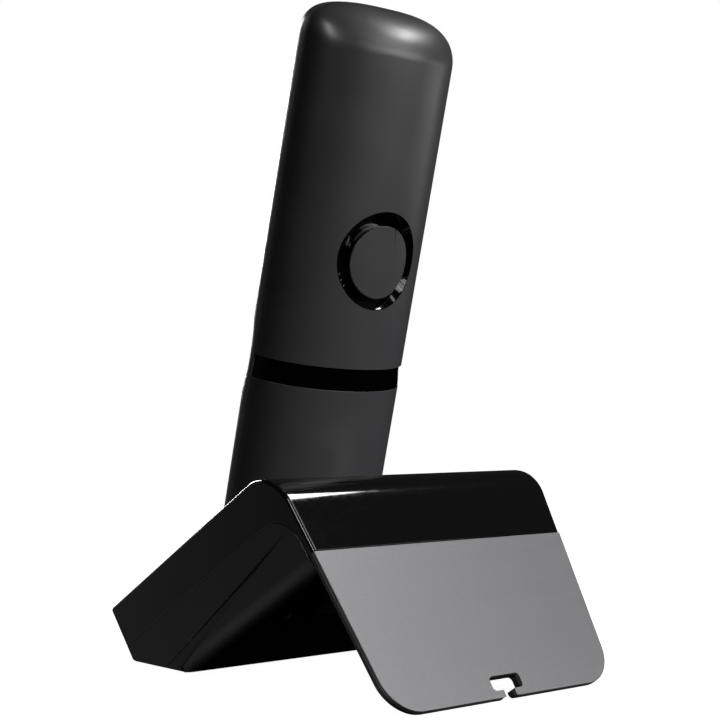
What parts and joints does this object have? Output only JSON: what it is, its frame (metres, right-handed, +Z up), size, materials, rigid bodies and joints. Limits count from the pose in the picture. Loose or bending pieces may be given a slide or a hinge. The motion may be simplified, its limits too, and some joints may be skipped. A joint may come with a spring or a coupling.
{
  "type": "cordless phone with base",
  "caption": "Cordless phone leaning in a folded tent-shaped charging base, with lift-off handset, pressable keys and a rear leg with a cable slot.",
  "frame": {"origin": "on the table, under the middle of the base's outline", "axes": "+Z up, +Y towards the silver rear leg, X across the phone"},
  "size_m": [0.089, 0.1149, 0.1759],
  "materials": {
    "gloss_black": "high gloss moulded ABS",
    "satin_black": "satin moulded ABS",
    "silver_satin": "silver satin lacquer",
    "soft_touch_black": "silky dark grey lacquer",
    "key_plastic": "satin keys",
    "window_acrylic": "smoked acrylic",
    "lcd_glass": "unlit display",
    "rubber_black": "matt",
    "circuit_board": "green solder mask",
    "steel": "zinc plated",
    "gold_contact": "gold plated",
    "component_black": "moulded",
    "socket_plastic": "moulded",
    "light_pipe": "tinted clear",
    "cell_wrap": "printed sleeve without marks"
  },
  "bodies": {
    "base": {"base_antenna": "gold_contact", "base_board": "circuit_board", "base_board_parts": "component_black", "base_lower_shell": "satin_black", "base_screws": "steel", "base_top_shell": "gloss_black", "charge_light": "light_pipe", "cradle_cup": "satin_black", "leg_panel": "silver_satin", "leg_screws": "steel", "line_socket": "socket_plastic", "page_board": "circuit_board", "page_switch": "component_black", "pin_carrier": "component_black", "power_inlet": "socket_plastic", "rear_leg": "satin_black", "rubber_feet": "rubber_black"},
    "handset": {"handset_front_shell": "soft_touch_black", "handset_back_shell": "soft_touch_black", "battery_cover": "soft_touch_black", "waist_band": "gloss_black", "speaker_ring": "gloss_black", "speaker_cap": "soft_touch_black", "ringer_speaker": "component_black", "keypad_mat": "rubber_black", "nav_mat": "rubber_black", "display_window": "window_acrylic", "display_module": "lcd_glass", "earpiece_grille": "steel", "earpiece_receiver": "component_black", "microphone": "component_black", "handset_board": "circuit_board", "board_shield": "steel", "handset_antenna": "gold_contact", "battery_cells": "cell_wrap", "battery_contacts": "steel", "charge_pads": "gold_contact"},
    "key_star": {"key_star": "key_plastic"},
    "key_0": {"key_0": "key_plastic"},
    "key_hash": {"key_hash": "key_plastic"},
    "key_7": {"key_7": "key_plastic"},
    "key_8": {"key_8": "key_plastic"},
    "key_9": {"key_9": "key_plastic"},
    "key_4": {"key_4": "key_plastic"},
    "key_5": {"key_5": "key_plastic"},
    "key_6": {"key_6": "key_plastic"},
    "key_1": {"key_1": "key_plastic"},
    "key_2": {"key_2": "key_plastic"},
    "key_3": {"key_3": "key_plastic"},
    "key_talk": {"key_talk": "key_plastic"},
    "key_soft_left": {"key_soft_left": "key_plastic"},
    "key_end": {"key_end": "key_plastic"},
    "key_soft_right": {"key_soft_right": "key_plastic"},
    "nav_rocker": {"nav_rocker": "key_plastic"},
    "page_key": {"page_key": "key_plastic"},
    "charge_pin_left": {"charge_pin_left": "gold_contact"},
    "charge_pin_right": {"charge_pin_right": "gold_contact"}
  },
  "joints": [
    {"name": "handset_lift", "type": "slide", "parent": "base", "child": "handset", "axis": [0, 0.2487, 0.9686], "range_m": [0, 0.06]},
    {"name": "key_star_press", "type": "slide", "parent": "handset", "child": "key_star", "axis": [0, 0.9686, -0.2487], "range_m": [0, 0.0004], "stiffness_N_per_m": 1500, "springref_m": -0.0003},
    {"name": "key_0_press", "type": "slide", "parent": "handset", "child": "key_0", "axis": [0, 0.9686, -0.2487], "range_m": [0, 0.0004], "stiffness_N_per_m": 1500, "springref_m": -0.0003},
    {"name": "key_hash_press", "type": "slide", "parent": "handset", "child": "key_hash", "axis": [0, 0.9686, -0.2487], "range_m": [0, 0.0004], "stiffness_N_per_m": 1500, "springref_m": -0.0003},
    {"name": "key_7_press", "type": "slide", "parent": "handset", "child": "key_7", "axis": [0, 0.9686, -0.2487], "range_m": [0, 0.0004], "stiffness_N_per_m": 1500, "springref_m": -0.0003},
    {"name": "key_8_press", "type": "slide", "parent": "handset", "child": "key_8", "axis": [0, 0.9686, -0.2487], "range_m": [0, 0.0004], "stiffness_N_per_m": 1500, "springref_m": -0.0003},
    {"name": "key_9_press", "type": "slide", "parent": "handset", "child": "key_9", "axis": [0, 0.9686, -0.2487], "range_m": [0, 0.0004], "stiffness_N_per_m": 1500, "springref_m": -0.0003},
    {"name": "key_4_press", "type": "slide", "parent": "handset", "child": "key_4", "axis": [0, 0.9686, -0.2487], "range_m": [0, 0.0004], "stiffness_N_per_m": 1500, "springref_m": -0.0003},
    {"name": "key_5_press", "type": "slide", "parent": "handset", "child": "key_5", "axis": [0, 0.9686, -0.2487], "range_m": [0, 0.0004], "stiffness_N_per_m": 1500, "springref_m": -0.0003},
    {"name": "key_6_press", "type": "slide", "parent": "handset", "child": "key_6", "axis": [0, 0.9686, -0.2487], "range_m": [0, 0.0004], "stiffness_N_per_m": 1500, "springref_m": -0.0003},
    {"name": "key_1_press", "type": "slide", "parent": "handset", "child": "key_1", "axis": [0, 0.9686, -0.2487], "range_m": [0, 0.0004], "stiffness_N_per_m": 1500, "springref_m": -0.0003},
    {"name": "key_2_press", "type": "slide", "parent": "handset", "child": "key_2", "axis": [0, 0.9686, -0.2487], "range_m": [0, 0.0004], "stiffness_N_per_m": 1500, "springref_m": -0.0003},
    {"name": "key_3_press", "type": "slide", "parent": "handset", "child": "key_3", "axis": [0, 0.9686, -0.2487], "range_m": [0, 0.0004], "stiffness_N_per_m": 1500, "springref_m": -0.0003},
    {"name": "key_talk_press", "type": "slide", "parent": "handset", "child": "key_talk", "axis": [0, 0.9686, -0.2487], "range_m": [0, 0.0004], "stiffness_N_per_m": 1500, "springref_m": -0.0003},
    {"name": "key_soft_left_press", "type": "slide", "parent": "handset", "child": "key_soft_left", "axis": [0, 0.9686, -0.2487], "range_m": [0, 0.0004], "stiffness_N_per_m": 1500, "springref_m": -0.0003},
    {"name": "key_end_press", "type": "slide", "parent": "handset", "child": "key_end", "axis": [0, 0.9686, -0.2487], "range_m": [0, 0.0004], "stiffness_N_per_m": 1500, "springref_m": -0.0003},
    {"name": "key_soft_right_press", "type": "slide", "parent": "handset", "child": "key_soft_right", "axis": [0, 0.9686, -0.2487], "range_m": [0, 0.0004], "stiffness_N_per_m": 1500, "springref_m": -0.0003},
    {"name": "nav_rocker_tilt", "type": "hinge", "parent": "handset", "child": "nav_rocker", "pos_m": [0, -0.01112, 0.10132], "axis": [1, 0, 0], "range_deg": [-3, 3], "stiffness_Nm_per_rad": 0.12},
    {"name": "page_key_press", "type": "slide", "parent": "base", "child": "page_key", "axis": [0, 0.4679, -0.8838], "range_m": [0, 0.0006], "stiffness_N_per_m": 1200, "springref_m": -0.0004},
    {"name": "charge_pin_left_press", "type": "slide", "parent": "base", "child": "charge_pin_left", "axis": [0, -0.2487, -0.9686], "range_m": [0, 0.0008], "stiffness_N_per_m": 250, "springref_m": -0.001},
    {"name": "charge_pin_right_press", "type": "slide", "parent": "base", "child": "charge_pin_right", "axis": [0, -0.2487, -0.9686], "range_m": [0, 0.0008], "stiffness_N_per_m": 250, "springref_m": -0.001}
  ]
}
